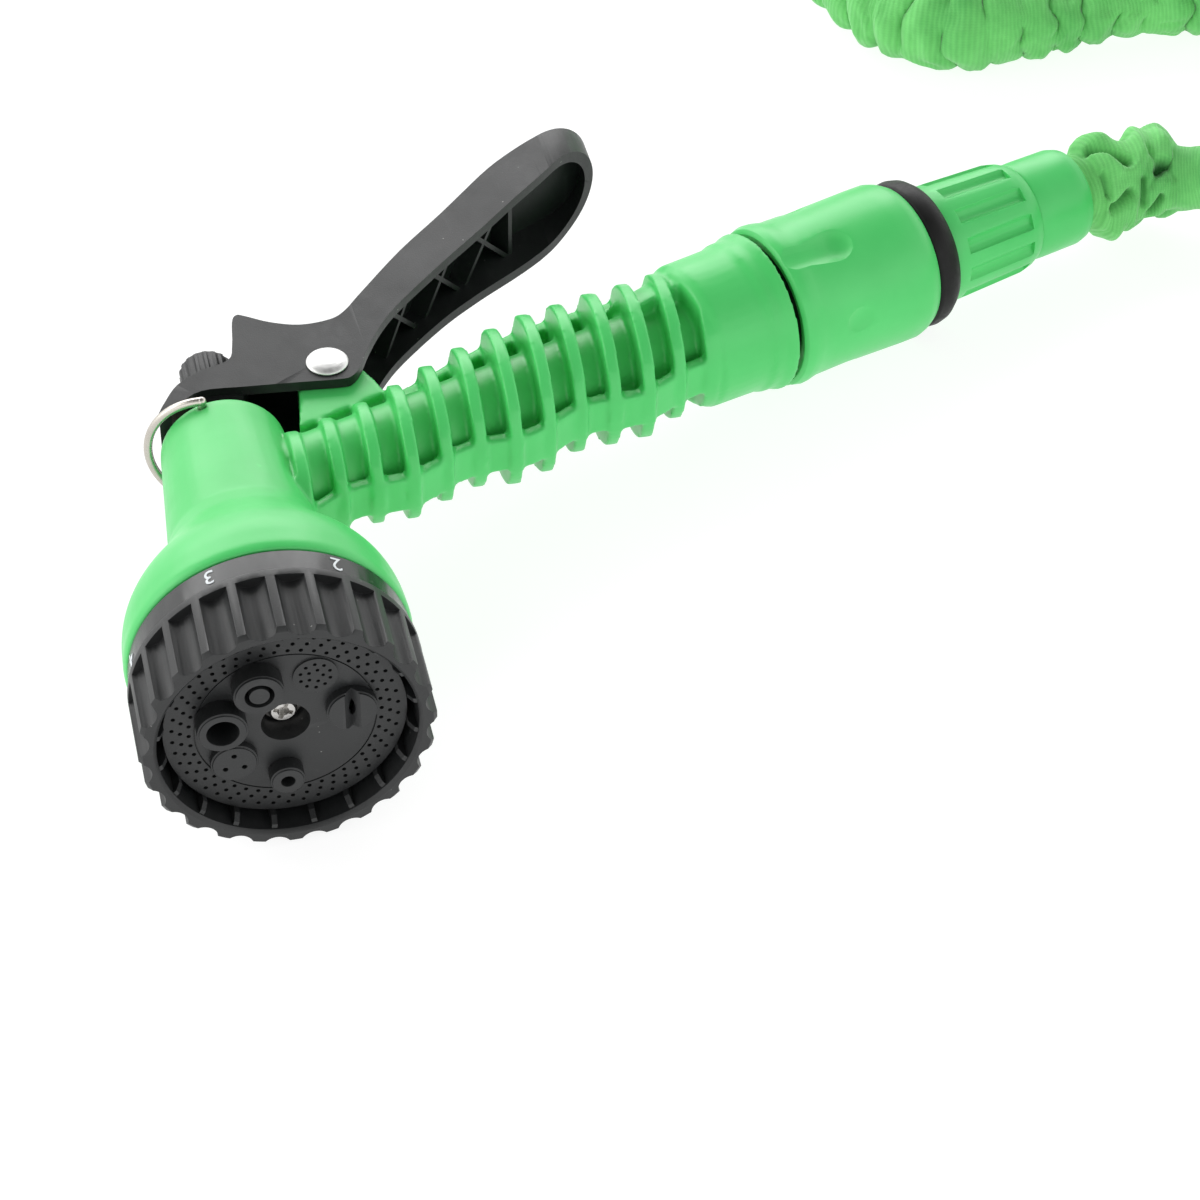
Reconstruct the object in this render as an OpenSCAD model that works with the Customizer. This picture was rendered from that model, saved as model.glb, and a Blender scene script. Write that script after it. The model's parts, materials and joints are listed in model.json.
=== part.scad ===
// Seven-pattern pistol-grip hose spray gun with its quick connector and an
// expandable fabric hose, lying on its side on a flat surface.
//
// Row frame: origin under the middle of the gun and connector, on the surface
// they lie on. +X runs from the spray dial towards the hose, +Y from the dial's
// face back to the trigger, +Z up. The gun itself is drawn in its own frame
// (dial face at y = 0, barrel axis along Y, handle in the plane z = 0) and
// every sub-part is laid down with lie().

/* [Spray dial] */
// Outer diameter of the dial over its ridges
dial_d = 62.2; // [60:0.2:64]
// Length of the dial along the spray axis
dial_l = 24.5; // [24:0.1:25]
// Diameter of the opening in front of the spray plate
opening_d = 54.6; // [54:0.2:55]
// Number of finger flutes round the dial
flute_count = 24; // [16:1:30]
// Number of small holes in each row of the shower ring
shower_row_count = 46; // [36:2:72]

/* [Barrel and handle] */
// Diameter of the barrel
barrel_d = 28.6; // [28:0.2:29]
// Where the handle's axis crosses the barrel's axis, behind the dial face
handle_y = 74.1; // [73:0.1:75]
// Lean of the handle back from square to the barrel, in degrees
handle_tilt = 18.45; // [17:0.05:20]
// Number of grip ribs
rib_count = 13; // [13:1:13]
// Distance from one grip rib to the next
rib_pitch = 8.27; // [8:0.01:8.5]
// Thickness of a grip rib
rib_t = 3; // [2.4:0.1:3.4]

/* [Trigger] */
// Distance of the trigger's hinge from the barrel's axis
hinge_x = 26.4; // [26:0.1:27]
// Distance of the trigger's hinge behind the dial face
hinge_y = 107.7; // [107:0.1:108]
// Thickness of the trigger's walls
lever_wall = 2.5; // [2:0.1:2.6]

/* [Connector] */
// Diameter of the connector's sliding sleeve
sleeve_d = 38.8; // [38:0.2:39.6]
// Number of grip grooves round the hose nut
nut_groove_count = 12; // [8:1:16]

/* [Hose] */
// Diameter of the gathered hose
hose_d = 20; // [18:0.5:20]
// Radius of the coil at the middle of its top turn
coil_r = 100.5; // [100:0.5:102]

/* [Hidden] */

$fn = 64;
green = [0.33, 0.86, 0.45];
black = [0.10, 0.11, 0.11];
fabric_green = [0.30, 0.72, 0.38];

dial_r = dial_d / 2;
opening_r = opening_d / 2;
barrel_r = barrel_d / 2;
sleeve_r = sleeve_d / 2;
hose_r = hose_d / 2;

// Stations along the spray axis
plate_y = 5;
disc_y = 12;
disc_t = 3;
front_y = 15.5;
bell_y = dial_l + 0.4;
crease_y = 60.5;
crease_r = 16.9;
barrel_end_y = 96;
chamber_r = 9.2;
port_a = 164.3;
pattern_r = 14;
pattern_step = 360 / 7;

// Lock wire: its pivot in the barrel's sides and the bend round the barrel
pivot_x = -4;
pivot_y = 93.4;
wire_r = 1;
wire_bend_r = 15;
wire_back = 2;
wire_end_z = sqrt(wire_bend_r * wire_bend_r - wire_back * wire_back);

// Stations along the handle, from the barrel's axis
collar_s = 117;
gap_s = 137.2;
sleeve_s0 = 138.8;
sleeve_s1 = 178;
nut_s1 = 212.5;
hose_s = 229;

// Lean that sets both the dial and the sleeve's rear rim on the surface
rest_s = 174.5;
lean = asin((dial_r - sleeve_r) / (rest_s * cos(handle_tilt)));
end_x = hose_s * cos(handle_tilt) * cos(lean);
origin_x = (end_x + 3.9 - dial_r) / 2;
origin_y = 94;

module lie() {
  translate([-origin_x, -origin_y, dial_r]) rotate([0, lean, 0]) children();
}

// Local +Z along the spray axis, starting y behind the dial face
module along_y(y) {
  translate([0, y, 0]) rotate([-90, 0, 0]) children();
}

// The same, placed at radius r and angle a round the spray axis
module at_port(r, a, y) {
  along_y(y) translate([r * cos(a), -r * sin(a), 0]) children();
}

// Local +Z along the handle, starting s from the barrel's axis; local +Y back
module along_handle(s) {
  translate([0, handle_y, 0]) rotate([0, 0, handle_tilt])
    translate([s, 0, 0]) rotate([0, 90, 0]) children();
}

module ring(r_out, r_in, h) {
  difference() {
    cylinder(r = r_out, h = h);
    translate([0, 0, -1]) cylinder(r = r_in, h = h + 2);
  }
}

module o_ring(r_mid, r_cord) {
  rotate_extrude() translate([r_mid, 0]) circle(r = r_cord, $fn = 24);
}

// A spring drawn as its separate coils
module coils(r_mid, r_wire, length, count) {
  for (i = [0 : count - 1])
    translate([0, 0, r_wire + i * (length - 2 * r_wire) / (count - 1)])
      rotate_extrude($fn = 40) translate([r_mid, 0]) circle(r = r_wire, $fn = 16);
}

// ---- Gun body ----------------------------------------------------------

// Point at t on the curve with four control points
function curve(p, t) =
  pow(1 - t, 3) * p[0] + 3 * pow(1 - t, 2) * t * p[1]
  + 3 * (1 - t) * t * t * p[2] + t * t * t * p[3];

bell_curve = [[30.6, 31.5], [29.6, 41.5], [24, 44.6], [18.6, 55.5]];

module bell_and_barrel() {
  along_y(0) rotate_extrude($fn = 96) polygon(concat(
    [[0, front_y], [26.4, front_y], [26.4, bell_y], [30.4, bell_y], [30.9, 26.6]],
    [for (t = [0 : 0.0625 : 1]) curve(bell_curve, t)],
    [[17.5, 58.6], [crease_r, crease_y], [crease_r - 0.25, crease_y + 2.5],
     [barrel_r, 92.6]],
    [for (a = [0 : 15 : 90])
      [barrel_r - 3.4 + 3.4 * cos(a), barrel_end_y - 3.4 + 3.4 * sin(a)]],
    [[0, barrel_end_y]]
  ));
}

module bell_hollow() {
  along_y(0) rotate_extrude() polygon([
    [0, 19], [23.6, 19], [23.6, 27], [27.6, 30.5], [26.4, 37], [22, 43],
    [16.4, 50.5], [10, 54], [0, 54]
  ]);
}

// Front and back lines of the grip in the plane z = 0
function swell(x) = cos(360 * (x - 39.5) / 28.3);
function grip_front(x) = 58.3 + 0.31 * x - 1.5 * swell(x);
function palm(x) = 4.2 * sin(180 * min(1, max(0, (x - 38) / 62)));
function grip_back(x) = 83.7 + 0.407 * x + palm(x);

module rib(x) {
  front = grip_front(x);
  back = grip_back(x);
  r = (back - front) / 2;
  flat_r = 1.15 * r;
  flat_z = flat_r - 0.92 * r;
  translate([x - rib_t / 2, (front + back) / 2, 0]) rotate([0, 90, 0])
    intersection() {
      cylinder(r = r, h = rib_t);
      translate([flat_z, 0, 0]) cylinder(r = flat_r, h = rib_t);
      translate([-flat_z, 0, 0]) cylinder(r = flat_r, h = rib_t);
    }
}

module front_strip_outline() {
  polygon(concat(
    [for (x = [9 : 3 : 117]) [x, grip_front(x) + 0.9]],
    [for (x = [117 : -3 : 9]) [x, grip_front(x) + 4.2]]
  ));
}

module back_strip_outline() {
  polygon(concat(
    [for (x = [22 : 3 : 109]) [x, grip_back(x) - 0.9]],
    [for (x = [109 : -3 : 22]) [x, grip_back(x) - 4.2]]
  ));
}

module web_outline() {
  polygon(concat(
    [for (x = [10 : 3 : 115]) [x, grip_front(x) + 2]],
    [for (x = [109 : -3 : 10]) [x, grip_back(x) - 2]]
  ));
}

// Part of the grip's end behind the handle's axis, local +Y back
module behind(n) {
  along_handle(98) translate([-25, n, 0]) cube([50, 30, 24]);
}

module grip() {
  for (i = [0 : rib_count - 2]) rib(14.6 + i * rib_pitch);
  difference() {
    rib(14.6 + (rib_count - 1) * rib_pitch);
    behind(3.2);
  }
  intersection() {
    along_handle(103) cylinder(r1 = 13.2, r2 = 15.6, h = 15);
    behind(1.2);
  }
  translate([0, 0, -4.5]) linear_extrude(9) front_strip_outline();
  translate([0, 0, -4.5]) linear_extrude(9) back_strip_outline();
  translate([0, 0, -1.2]) linear_extrude(2.4) web_outline();
  along_handle(3) cylinder(r = 10, h = collar_s);
}

module inlet_collar() {
  along_handle(0) rotate_extrude($fn = 96) polygon([
    [0, collar_s - 1], [16.2, collar_s - 1], [17.5, collar_s + 1], [17.7, 129.6],
    [17.9, 130.8], [18.35, 131.3], [18.4, 134.2], [18.9, 135.4], [19.3, 136.2],
    [19.2, gap_s], [0, gap_s]
  ]);
}

// Block that carries the trigger's rivet
module hinge_lug() {
  translate([0, 0, -6.7]) linear_extrude(13.4) difference() {
    union() {
      polygon([
        [17, 90], [38, 98], [36.5, 103], [33.4, hinge_y + 2], [19.6, hinge_y + 1],
        [18.6, 100]
      ]);
      translate([hinge_x, hinge_y]) circle(r = 7.1);
    }
    translate([hinge_x, hinge_y]) circle(r = 2.5);
  }
}

module gun_body() {
  color(green) lie() difference() {
    union() {
      difference() {
        bell_and_barrel();
        bell_hollow();
      }
      difference() {
        union() {
          grip();
          inlet_collar();
        }
        along_y(20) cylinder(r = barrel_r - 1, h = 73);
      }
      hinge_lug();
      along_y(front_y) cylinder(r = 5.2, h = 20.5);
      at_port(pattern_r, port_a, front_y) cylinder(r = 6.4, h = 11);
    }
    along_y(front_y - 1) cylinder(r = 1.9, h = 19);
    at_port(pattern_r, port_a, front_y - 1) cylinder(r = 4.55, h = 9.5);
    at_port(pattern_r, port_a, front_y) cylinder(r = 2.8, h = 20);
    at_port(20.5, 30, front_y - 1) cylinder(r = 2.05, h = 3.6);
    along_y(52) cylinder(r = 5.6, h = 14);
    along_y(63.5) cylinder(r = chamber_r, h = 23);
    along_y(85) cylinder(r = 10.4, h = 12);
    along_handle(7) cylinder(r = 6, h = 116);
    along_handle(121) cylinder(r = 9.4, h = 20);
    for (side = [-1, 1])
      translate([pivot_x, pivot_y, side * 13.2]) cylinder(r = 1.1, h = 3.6, center = true);
  }
}

// ---- Port seal and detent ------------------------------------------------

module port_seal() {
  color(black) lie() at_port(pattern_r, port_a, front_y - 0.42) ring(4.5, 2.5, 3.4);
}

module seal_spring() {
  color("silver") lie() at_port(pattern_r, port_a, front_y + 3) coils(3.7, 0.4, 5.4, 4);
}

module detent_ball() {
  color("silver") lie() at_port(20.5, 30, front_y - 0.35) sphere(r = 1.9, $fn = 32);
}

module detent_spring() {
  color("silver") lie() at_port(20.5, 30, front_y + 1.56) cylinder(r = 1.6, h = 1.02);
}

// ---- Spray dial ----------------------------------------------------------

module dial_ring() {
  color(black) lie() along_y(0) difference() {
    union() {
      difference() {
        rotate_extrude($fn = 120) polygon([
          [opening_r, 0.8], [opening_r + 0.8, 0], [dial_r - 0.9, 0], [dial_r, 0.9],
          [dial_r, 18], [dial_r - 0.6, 18.7], [dial_r - 0.8, 18.9],
          [dial_r - 0.8, dial_l - 0.3], [dial_r - 1.1, dial_l], [opening_r, dial_l]
        ]);
        for (i = [0 : flute_count - 1])
          rotate([0, 0, (i + 0.5) * 360 / flute_count])
            translate([dial_r + 1.2, 0, -1]) cylinder(r = 3.4, h = 17.2, $fn = 32);
      }
      for (i = [0 : 19])
        rotate([0, 0, i * 18 + 9]) translate([0, 0.6, 0]) rotate([90, 0, 0])
          linear_extrude(1.2) polygon([
            [27.5, 1.1], [26.6, 1.5], [25.56, 3.4], [25.56, 11.2], [27.5, 11.2]
          ]);
    }
  }
}

// Sockets in the spray plate: angle and radius of each insert
flat_a = 10;
soaker_a = flat_a + pattern_step;
cone_a = flat_a + 2 * pattern_step;
stream_a = flat_a + 3 * pattern_step;
mist_a = flat_a + 4 * pattern_step;
jet_a = flat_a + 5 * pattern_step;
shower_a = flat_a + 6 * pattern_step;

module spray_plate() {
  color(black) lie() along_y(0) difference() {
    union() {
      translate([0, 0, plate_y]) cylinder(r = 25.5, h = 2.2, $fn = 96);
      translate([0, 0, plate_y + 2]) ring(25.5, 24.4, disc_y - plate_y - 2);
      translate([0, 0, plate_y + 2]) ring(19.2, 18.45, disc_y - plate_y - 2);
      translate([0, 0, plate_y + 2]) cylinder(r = 6.5, h = disc_y - plate_y - 2);
    }
    translate([0, 0, plate_y - 1]) cylinder(r = 5.15, h = 20);
    translate([0, 0, plate_y - 1]) ring(19.2, 18.9, 1.4);
    for (row = [0 : 2])
      for (i = [0 : shower_row_count - 1])
        rotate([0, 0, (i + row / 3) * 360 / shower_row_count])
          translate([20.15 + 1.75 * row, 0, plate_y - 1])
            cylinder(r = 0.45, h = 4, $fn = 13);
    for (a = [flat_a, soaker_a, cone_a, stream_a, mist_a])
      rotate([0, 0, -a]) translate([pattern_r, 0, plate_y - 1]) cylinder(r = 4.2, h = 5);
    rotate([0, 0, -jet_a]) translate([pattern_r, 0, plate_y - 1]) cylinder(r = 2.6, h = 5);
    rotate([0, 0, -shower_a]) translate([pattern_r, 0, plate_y + 1.2])
      cylinder(r = 3.4, h = 5);
  }
}

module selector_disc() {
  color(black) lie() along_y(disc_y) difference() {
    cylinder(r = opening_r, h = disc_t, $fn = 96);
    translate([0, 0, -1]) cylinder(r = 2.4, h = 5);
    for (k = [0 : 6])
      rotate([0, 0, -(flat_a + k * pattern_step)]) translate([pattern_r, 0, -1])
        cylinder(r = 2.4, h = 5);
    translate([0, 0, disc_t - 1.85]) ring(22.5, 18.5, 3);
  }
}

// An insert's nozzle: spigot in the plate's socket and a boss in front
module tip(a, r, proud, spigot_r) {
  at_port(pattern_r, a, plate_y - proud) difference() {
    union() {
      cylinder(r = r - 0.4, h = 0.41);
      translate([0, 0, 0.4]) cylinder(r = r, h = proud - 0.4);
      cylinder(r = spigot_r, h = proud + 3);
    }
    children();
  }
}

module flat_tip() {
  color(black) lie() tip(flat_a, 5.4, 2.4, 4.2) {
    rotate([0, 45, 0]) cube([2.3, 20, 2.3], center = true);
    intersection() {
      translate([3.6, 0, -1]) cylinder(r = 4.3, h = 12);
      translate([-3.6, 0, -1]) cylinder(r = 4.3, h = 12);
    }
    translate([0, 0, 3.2]) cylinder(r = 3, h = 6);
  }
}

module soaker_disc() {
  color(black) lie() tip(soaker_a, 5.1, 0.42, 4.2) {
    for (i = [0 : 4]) rotate([0, 0, i * 72]) translate([1.6, 0, -1])
      cylinder(r = 0.4, h = 8, $fn = 13);
    for (i = [0 : 9]) rotate([0, 0, i * 36 + 18]) translate([3.2, 0, -1])
      cylinder(r = 0.4, h = 8, $fn = 13);
    translate([0, 0, 1.6]) cylinder(r = 3.8, h = 6);
  }
}

module cone_tip() {
  color(black) lie() tip(cone_a, 5.3, 4.6, 4.2) difference() {
    translate([0, 0, -1]) cylinder(r = 3.1, h = 12);
    cylinder(r1 = 2.1, r2 = 2.4, h = 4.4);
    for (i = [0 : 2]) rotate([0, 0, i * 60]) translate([-3.4, -0.4, 3]) cube([6.8, 0.8, 1.4]);
  }
}

module stream_tip() {
  color(black) lie() tip(stream_a, 5.3, 4.6, 4.2)
    translate([0, 0, -1]) cylinder(r = 3.4, h = 12);
}

module mist_disc() {
  color(black) lie() tip(mist_a, 5, 2, 4.2) {
    for (i = [0 : 2]) rotate([0, 0, i * 120 + 30]) translate([2.3, 0, -1])
      cylinder(r = 0.55, h = 8, $fn = 16);
    translate([0, 0, 1.2]) cylinder(r = 3.6, h = 8);
  }
}

module jet_tip() {
  color(black) lie() tip(jet_a, 3.7, 3.6, 2.6)
    translate([0, 0, -1]) cylinder(r = 1.5, h = 12);
}

module dial_washer() {
  color("silver") lie() along_y(11.2) ring(4.6, 1.95, 0.72);
}

module dial_screw() {
  color("silver") lie() along_y(8.2) difference() {
    union() {
      cylinder(r1 = 2.5, r2 = 3.1, h = 0.7);
      translate([0, 0, 0.69]) cylinder(r = 3.1, h = 2.31);
      cylinder(r = 1.88, h = 23);
    }
    for (a = [20, 110]) rotate([0, 0, a]) translate([-2.1, -0.5, -1]) cube([4.2, 1, 2.6]);
    translate([0, 0, -1]) cylinder(r1 = 1.6, r2 = 0.7, h = 2.9);
  }
}

// ---- Valve ---------------------------------------------------------------

module valve_stem() {
  color("goldenrod") lie() along_y(66) union() {
    cylinder(r = 2.6, h = 53);
    translate([0, 0, -7]) cylinder(r = 1.9, h = 7.1);
  }
}

module valve_plunger() {
  color(black) lie() along_y(65) difference() {
    union() {
      cylinder(r = 7.6, h = 2);
      translate([0, 0, 1.9]) cylinder(r = 4.6, h = 4);
    }
    translate([0, 0, -1]) cylinder(r = 1.9, h = 2.01);
    translate([0, 0, 1]) cylinder(r = 2.6, h = 6);
  }
}

module valve_washer() {
  color([0.2, 0.2, 0.2]) lie() along_y(63.56) ring(7.4, 1.9, 1.44);
}

module valve_spring() {
  color("silver") lie() along_y(67.2) coils(5.6, 0.5, 16.6, 7);
}

module stem_o_ring() {
  color([0.15, 0.15, 0.15]) lie() along_y(87.6) o_ring(3.98, 1.3);
}

module gland_nut() {
  color(black) lie() along_y(84.2) difference() {
    union() {
      cylinder(r = 9.1, h = 0.9);
      translate([0, 0, 0.8]) cylinder(r = 10.4, h = 11.4);
    }
    translate([0, 0, -1]) cylinder(r = 2.66, h = 16);
    translate([0, 0, 2]) cylinder(r = 5.3, h = 2.8);
  }
}

module flow_knob() {
  color(black) lie() along_y(108) difference() {
    union() {
      cylinder(r1 = 5.4, r2 = 6.2, h = 1);
      translate([0, 0, 0.99]) cylinder(r = 6.2, h = 12.7);
      translate([0, 0, 13.68]) cylinder(r1 = 6.2, r2 = 5.2, h = 0.9);
    }
    translate([0, 0, -1]) cylinder(r = 2.66, h = 12.4);
    for (i = [0 : 17]) rotate([0, 0, i * 20]) translate([6.7, 0, -1])
      cylinder(r = 0.9, h = 18, $fn = 16);
  }
}

// ---- Trigger -------------------------------------------------------------

function knot(p, i) = p[max(0, min(len(p) - 1, i))];

// Smooth line through the points p, in n steps from one to the next
function smooth(p, n) = concat(
  [for (i = [0 : len(p) - 2]) for (k = [0 : n - 1])
    let (t = k / n, a = knot(p, i - 1), b = p[i], c = p[i + 1], d = knot(p, i + 2))
    0.5 * (2 * b + (c - a) * t + (2 * a - 5 * b + 4 * c - d) * t * t
           + (3 * b - a - 3 * c + d) * t * t * t)],
  [p[len(p) - 1]]
);

// Side outline of the trigger, seen along the hinge pin
lever_outer = [
  [-13.4, 97.6], [-11.6, 101.2], [-8, 106.8], [-2.3, 110.7], [4.5, 113.3],
  [6.2, 118.5], [7.4, 126.8], [8.7, 129.2], [10.7, 128.4], [16, 125],
  [22.6, 122.7], [29.7, 123.3], [33.6, 125.9], [38.1, 131.4], [50.2, 145.7],
  [62.1, 157.3], [74.2, 168.8], [82.9, 175], [92, 180.4], [100, 184.6],
  [106, 187]
];
lever_inner = [
  [106, 180], [97, 172.5], [88, 163.6], [77, 154.2], [67.8, 146.4],
  [58.9, 138.6], [46.9, 126.6], [40.9, 119], [36.6, 111.5], [33.5, 104.9],
  [31.1, 101.8], [28.2, 101.3], [19.2, 102.1], [8, 103], [-3, 103.6],
  [-8.6, 99.6], [-10.6, 97.6]
];

module lever_side(half_z) {
  translate([0, 0, -half_z]) linear_extrude(2 * half_z)
    polygon(concat(smooth(lever_outer, 4), smooth(lever_inner, 4)));
}

lever_half = [[36, 9.5], [50, 9.5], [60, 9.8], [70, 10.7], [80, 12.2], [87, 12.9], [91.5, 13.1]];

// Outline of the trigger seen from the palm side, inset by d
module lever_plan(d) {
  translate([0, 250, 0]) rotate([90, 0, 0]) linear_extrude(200) union() {
    for (side = [0, 1]) mirror([0, side]) polygon(concat(
      [[-20, -1], [-20, 9.5 - d]],
      smooth([for (p = lever_half) p - [0, d]], 5),
      [[91.5, -1]]
    ));
    translate([91.5, 0]) circle(r = 13.1 - d);
  }
}

// Everything on the grip side of the trigger's back wall
module lever_channel() {
  translate([0, 0, -12]) linear_extrude(24) polygon(concat(
    [[-5.5, 90], [-5.5, 101.6], [-7.6, 101.6], [-6.2, 104.6], [4.2, 104.6]],
    smooth([
      [7, 109], [9, 118.5], [10.6, 124.8], [15, 122.4], [22.6, 120.2],
      [30.8, 120.8], [35.4, 124], [40, 129.7], [52, 143.8], [63.9, 155.4],
      [75.9, 166.8], [84.3, 172.8], [93, 178], [101, 182], [106, 184]
    ], 4),
    [[120, 175], [60, 90]]
  ));
}

// Crossed stiffening ribs inside the trigger's channel
module lever_braces() {
  intersection() {
    union() {
      for (i = [0 : 2]) {
        x = 46.3 + i * 12.6;
        y = 133.3 + i * 12.4;
        for (turn = [-1, 1])
          translate([x, y, 0]) rotate([0, 0, 44]) rotate([0, turn * 43, 0])
            translate([-0.55, -4.6, -16]) cube([1.1, 12, 32]);
      }
      translate([83, 160, -14]) rotate([0, 0, 44]) cube([1.4, 20, 28]);
    }
    lever_plan(2);
    translate([0, 0, -14]) linear_extrude(28) polygon([
      [34, 119], [41, 124.5], [52, 137], [63, 148], [76, 160], [90, 171.4],
      [98, 179], [84, 174], [62, 155], [50, 143], [38, 129]
    ]);
  }
}

module lever() {
  color(black) lie() difference() {
    union() {
      difference() {
        intersection() {
          lever_side(14);
          lever_plan(0);
        }
        intersection() {
          lever_plan(lever_wall);
          lever_channel();
        }
        translate([-12, 105, -6.75]) cube([18.75, 30, 13.5]);
      }
      lever_braces();
      for (side = [-1, 1]) translate([0, 105.2, side * 5.6])
        cylinder(r = 2.5, h = 3.6, center = true);
      translate([-6.4, 102.6, -7.4]) cube([12.6, 2.4, 14.8]);
    }
    translate([-3.6, 90, -3.8]) cube([8, 40, 7.6]);
    along_y(84) cylinder(r = barrel_r + 0.5, h = 12.8);
    translate([hinge_x, hinge_y, -12]) cylinder(r = 2.5, h = 24);
  }
}

module lever_rivet() {
  color("silver") lie() translate([hinge_x, hinge_y, 0]) union() {
    cylinder(r = 2.44, h = 19.6, center = true);
    for (side = [0, 1]) mirror([0, 0, side]) translate([0, 0, 9.56])
      rotate_extrude() polygon([
        [0, 0], [4.85, 0], [4.85, 0.35], [4.5, 0.72], [3.6, 1.12], [2.4, 1.38],
        [1.2, 1.5], [0, 1.54]
      ]);
  }
}

module lock_wire() {
  color("silver") lie() translate([pivot_x, pivot_y, 0]) rotate([0, 0, -14.6]) union() {
    rotate([90, 0, 0]) intersection() {
      translate([wire_back, 0, 0]) rotate_extrude($fn = 72)
        translate([wire_bend_r, 0]) circle(r = wire_r, $fn = 24);
      translate([-20, 0, 0]) cube([40, 40, 4], center = true);
    }
    for (side = [-1, 1]) translate([0, 0, side * wire_end_z]) {
      sphere(r = wire_r + 0.06);
      translate([0, 0, -side * 1.6]) cylinder(r = wire_r, h = 3.2, center = true);
    }
  }
}

// ---- Quick connector -----------------------------------------------------

module inlet_spigot() {
  color(green) lie() along_handle(0) rotate_extrude() polygon([
    [4.8, 121.2], [9.4, 121.2], [9.4, gap_s], [11.5, gap_s], [11.5, 138.6],
    [7.9, 139.6], [7.9, 143], [6.9, 143.6], [6.9, 147.4], [7.9, 148],
    [7.9, 155], [6.3, 155], [6.3, 158], [7.9, 158], [7.9, 162],
    [7.2, 163.4], [4.8, 163.4]
  ]);
}

module spigot_o_ring() {
  color([0.15, 0.15, 0.15]) lie() along_handle(156.5) o_ring(7.4, 1.1);
}

module connector_body() {
  color([0.15, 0.16, 0.16]) lie() along_handle(0) difference() {
    rotate_extrude() polygon([
      [8.6, 140], [15.4, 140], [15.4, 150], [13.2, 151], [13.2, 165], [15.4, 166],
      [15.4, 175.6], [12.6, 175.6], [12.6, 186], [6, 186], [6, 168], [8.6, 168]
    ]);
    for (i = [0 : 3]) rotate([0, 0, 45 + i * 90])
      translate([7, -2.6, 143.8]) cube([9.4, 5.2, 3.4]);
  }
}

module connector_seal() {
  color([0.15, 0.15, 0.15]) lie() along_handle(163.8) ring(8.6, 5.2, 4.2);
}

module locking_claws() {
  color("ivory") lie() along_handle(0) for (i = [0 : 3]) rotate([0, 0, 45 + i * 90])
    translate([7.4, -2.4, 144.1]) cube([7.6, 4.8, 2.8]);
}

module sleeve_dimple(a) {
  rotate([0, 0, a]) translate([0, sleeve_r + 7.4, 154.4]) sphere(r = 8.6, $fn = 64);
}

// Thumb scoop that starts deep and runs out towards the gun
module sleeve_scoop(a) {
  rotate([0, 0, a]) translate([0, sleeve_r + 4.7, 153.4]) {
    sphere(r = 7, $fn = 64);
    rotate([9, 0, 0]) translate([0, 0, -16]) cylinder(r = 7, h = 16);
  }
}

module connector_sleeve() {
  color(green) lie() along_handle(0) difference() {
    rotate_extrude($fn = 96) polygon([
      [15.8, sleeve_s0 + 0.8], [18.4, sleeve_s0], [19.4, sleeve_s0 + 0.7],
      [19.9, 141], [19.8, 142.6], [19.2, 145.4], [19.1, 157], [sleeve_r, 170],
      [sleeve_r, rest_s], [18.9, 176.2], [17.9, sleeve_s1], [15.8, sleeve_s1]
    ]);
    for (i = [0 : 2]) {
      sleeve_scoop(111 + i * 120);
      sleeve_dimple(170 + i * 120);
    }
  }
}

module sleeve_bumper() {
  color(black) lie() along_handle(0) rotate_extrude($fn = 96) polygon([
    [15.1, sleeve_s1], [17.2, sleeve_s1], [18.1, 179], [18.3, 181.2],
    [17.9, 183], [16.6, 184.8], [15.1, 185.2]
  ]);
}

module sleeve_spring() {
  color("silver") lie() along_handle(151.6) coils(14.3, 0.5, 13.4, 5);
}

module hose_nut() {
  color(green) lie() along_handle(0) difference() {
    rotate_extrude($fn = 96) polygon([
      [12.6, 176], [14.6, 176], [14.6, 188], [14.5, 192], [13.9, 208],
      [13.3, 210.6], [12.4, nut_s1], [8.4, nut_s1], [8.4, 188], [12.6, 188]
    ]);
    for (i = [0 : nut_groove_count - 1])
      rotate([0, 0, i * 360 / nut_groove_count])
        translate([0, 15.6, 189.5]) rotate([2.2, 0, 0]) cylinder(r = 2.3, h = 19.5, $fn = 32);
  }
}

module hose_collar() {
  color(green) lie() along_handle(0) rotate_extrude($fn = 96) polygon([
    [8.4, nut_s1], [12.2, nut_s1], [12.3, 216], [12.2, 226], [11.6, 228.2],
    [10.6, hose_s], [8.4, hose_s]
  ]);
}

// ---- Hose ----------------------------------------------------------------

// Centre line from the connector to the coil, and from the coil to the tap end
run_route = [
  [122, 52.6, 15.8], [129, 54.7, 15.2], [137, 56, 14.6], [145, 55.8, 14.2],
  [153, 53.6, 14.4], [161, 49.4, 16.4], [169, 43.2, 20.4], [177, 35, 25.2],
  [184.6, 25.4, 28.6], [191.4, 14.6, 29.4], [197, 3, 29]
];
tail_route = [
  [300, 136, 10.2], [280, 136.2, 10.2], [260, 136.8, 10.2], [240, 137.6, 10.2],
  [220, 138.2, 10.2], [200, 138, 10.2], [182, 137, 10.2], [166, 136.2, 10.2],
  [152, 135.8, 10.2], [138, 136.2, 10.2], [124, 139.4, 10.2], [112, 146, 10.2],
  [103.4, 155.4, 10.4], [98.6, 167, 11.8], [97.6, 177, 14], [97.6, 186, 16]
];
coil_x = 300;
coil_y = 25;
turn_gap = 21;

function unit(v) = v / norm(v);
function heading(route, i) = unit(route[min(i + 1, len(route) - 1)] - route[max(i - 1, 0)]);

// Ring of points round the route's point i
function tube_ring(route, i, r, sides) =
  let (d = heading(route, i), side = unit(cross(d, [0, 0, 1])), up = cross(side, d))
  [for (k = [0 : sides - 1])
    route[i] + r * (cos(k * 360 / sides) * side + sin(k * 360 / sides) * up)];

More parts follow.
